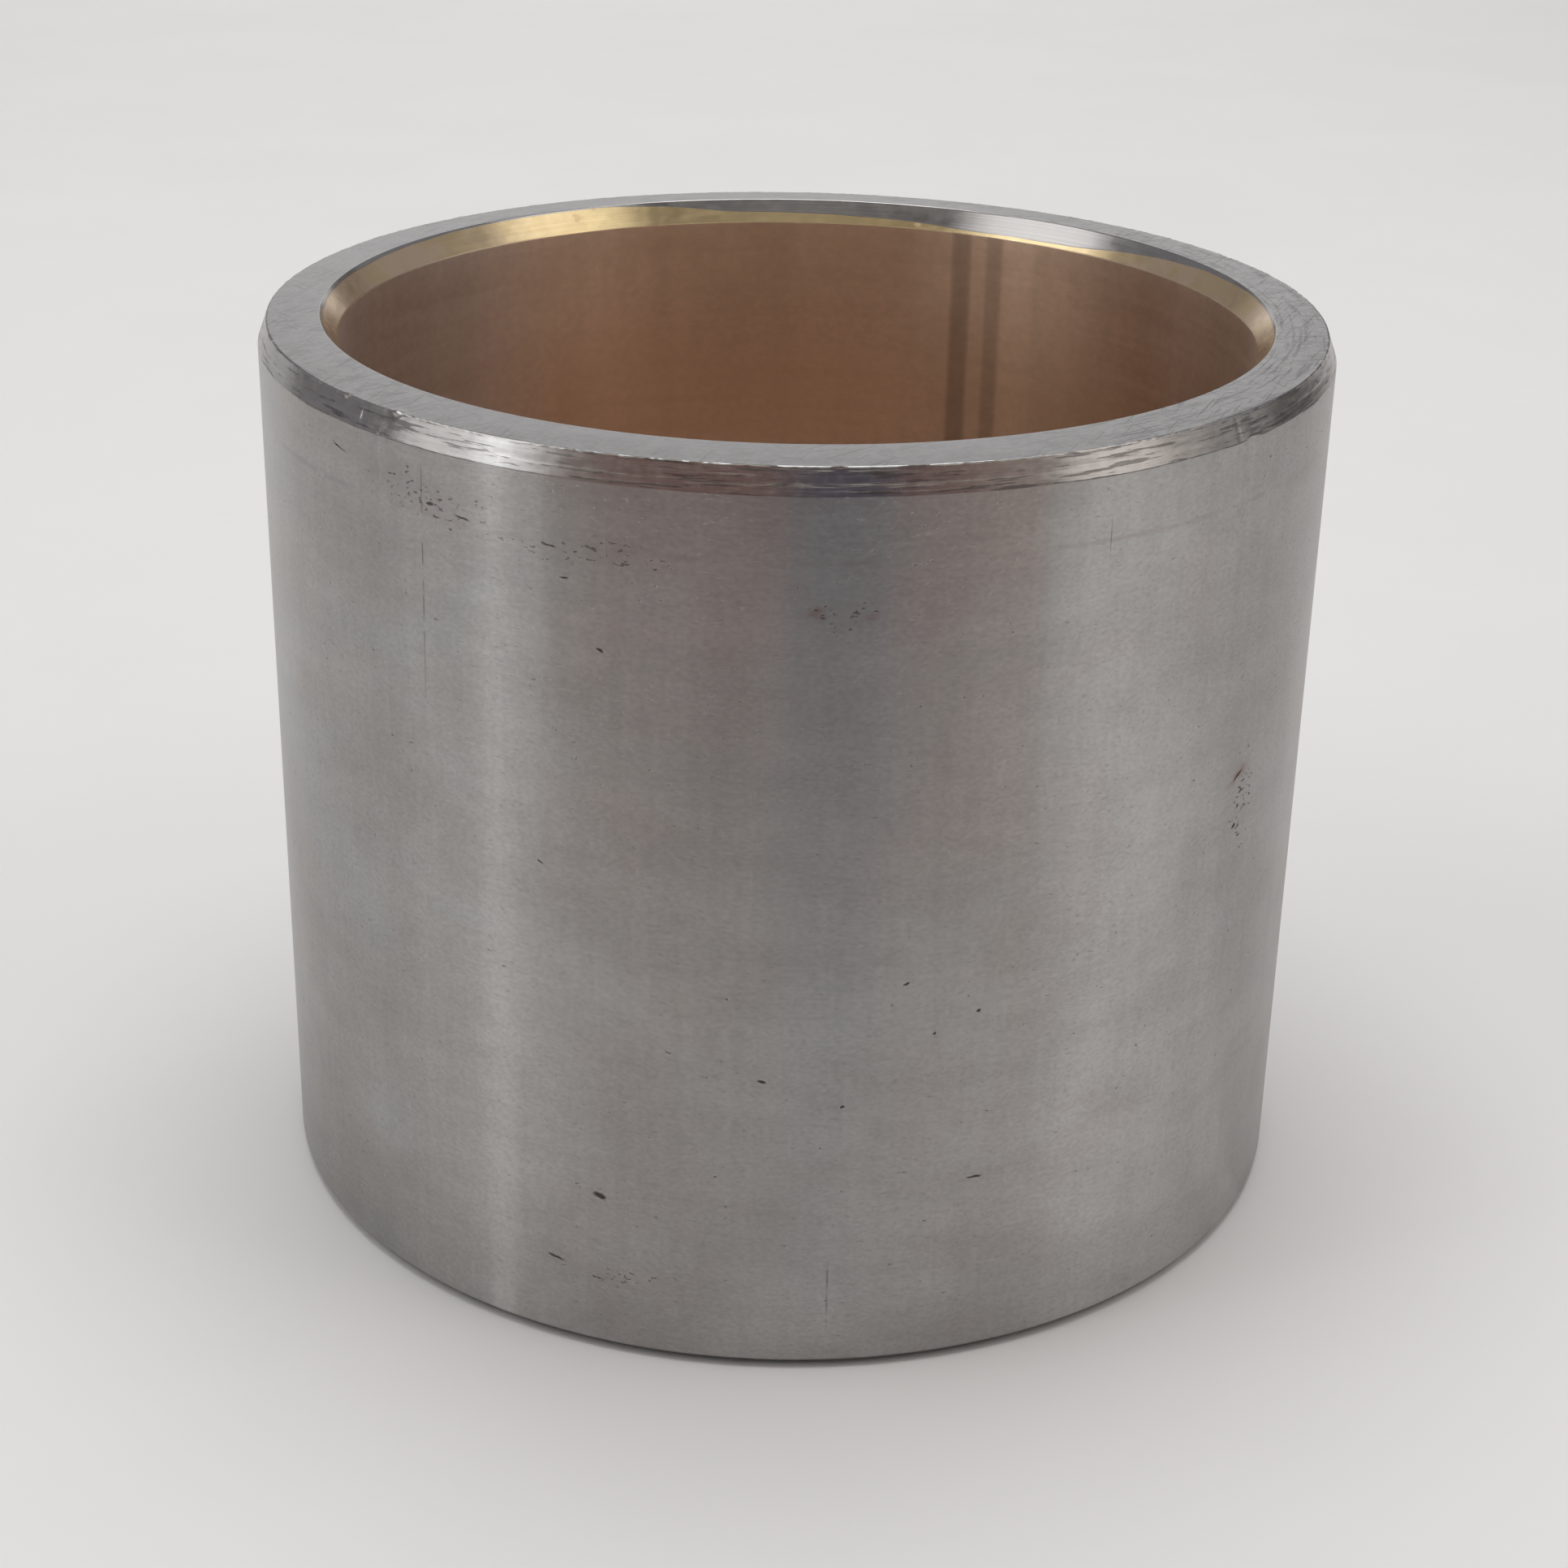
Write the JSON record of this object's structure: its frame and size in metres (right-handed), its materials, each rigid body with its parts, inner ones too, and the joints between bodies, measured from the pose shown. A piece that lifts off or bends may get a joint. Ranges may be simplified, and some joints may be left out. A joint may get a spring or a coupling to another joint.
{
  "type": "sleeve bushing",
  "caption": "Plain cylindrical sleeve bushing: a steel backing shell with a thin bonded bronze lining, a long lead-in chamfer outside and chamfered bore mouths.",
  "frame": {"origin": "centre of the lower end face, on the axis of the bore", "axes": "+Z along the axis of the bore, from the plain end face towards the end with the long lead-in chamfer; X and Y are square to it and otherwise free, because the part is round"},
  "size_m": [0.06, 0.06, 0.0505],
  "materials": {
    "ground_steel": "satin",
    "lining_bronze": "satin"
  },
  "bodies": {
    "root": {"steel_shell": "ground_steel", "bronze_lining": "lining_bronze"}
  },
  "joints": []
}
